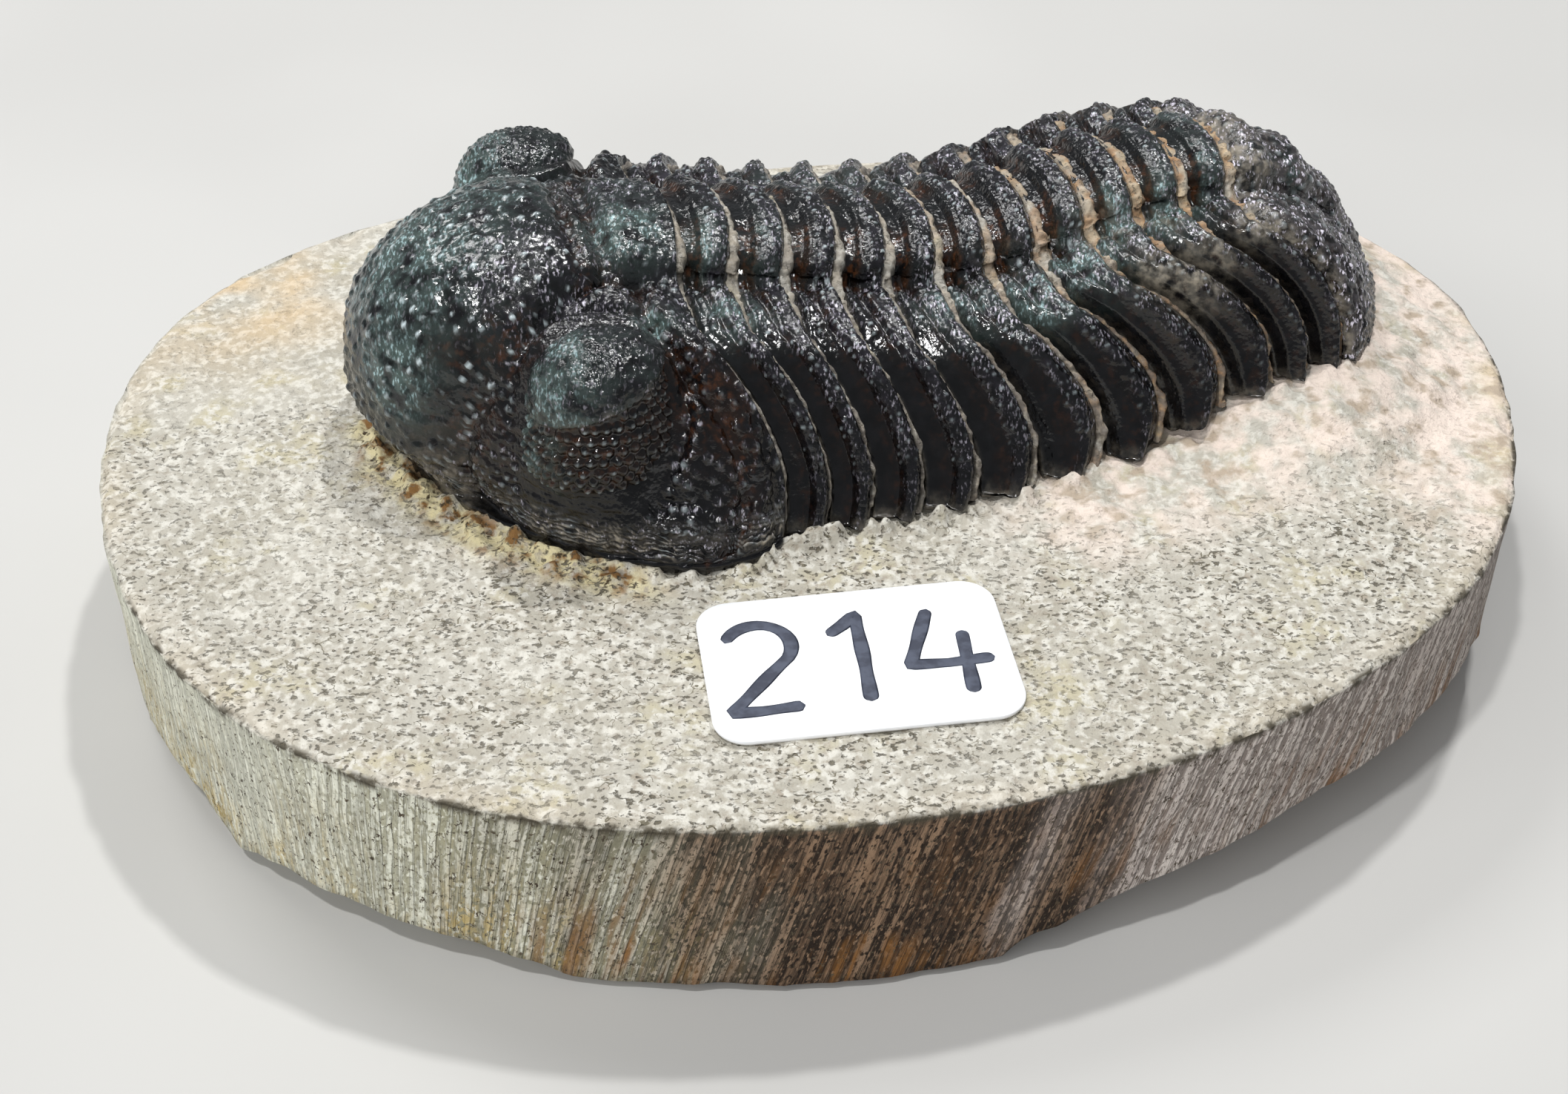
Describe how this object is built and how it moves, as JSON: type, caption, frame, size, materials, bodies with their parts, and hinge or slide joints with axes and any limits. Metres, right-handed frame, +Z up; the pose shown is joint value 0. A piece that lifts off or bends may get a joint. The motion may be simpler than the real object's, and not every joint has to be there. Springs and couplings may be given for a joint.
{
  "type": "trilobite in matrix",
  "caption": "Prepared black phacopid trilobite lying on an oval sawn limestone slab, with a small paper number label beside it.",
  "frame": {"origin": "middle of the slab's underside", "axes": "+X along the slab towards the tail end, +Y across the slab away from the label, +Z up out of the slab's top face"},
  "size_m": [0.0946, 0.0732, 0.0293],
  "materials": {
    "limestone": "rough sawn and air-abraded limestone",
    "fossil_calcite": "glossy black calcite shell",
    "paper_label": "smooth coated paper"
  },
  "bodies": {
    "root": {"matrix": "limestone", "cephalon": "fossil_calcite", "thorax_segment_01": "fossil_calcite", "thorax_segment_02": "fossil_calcite", "thorax_segment_03": "fossil_calcite", "thorax_segment_04": "fossil_calcite", "thorax_segment_05": "fossil_calcite", "thorax_segment_06": "fossil_calcite", "thorax_segment_07": "fossil_calcite", "thorax_segment_08": "fossil_calcite", "thorax_segment_09": "fossil_calcite", "thorax_segment_10": "fossil_calcite", "thorax_segment_11": "fossil_calcite", "pygidium": "fossil_calcite", "label": "paper_label"}
  },
  "joints": []
}
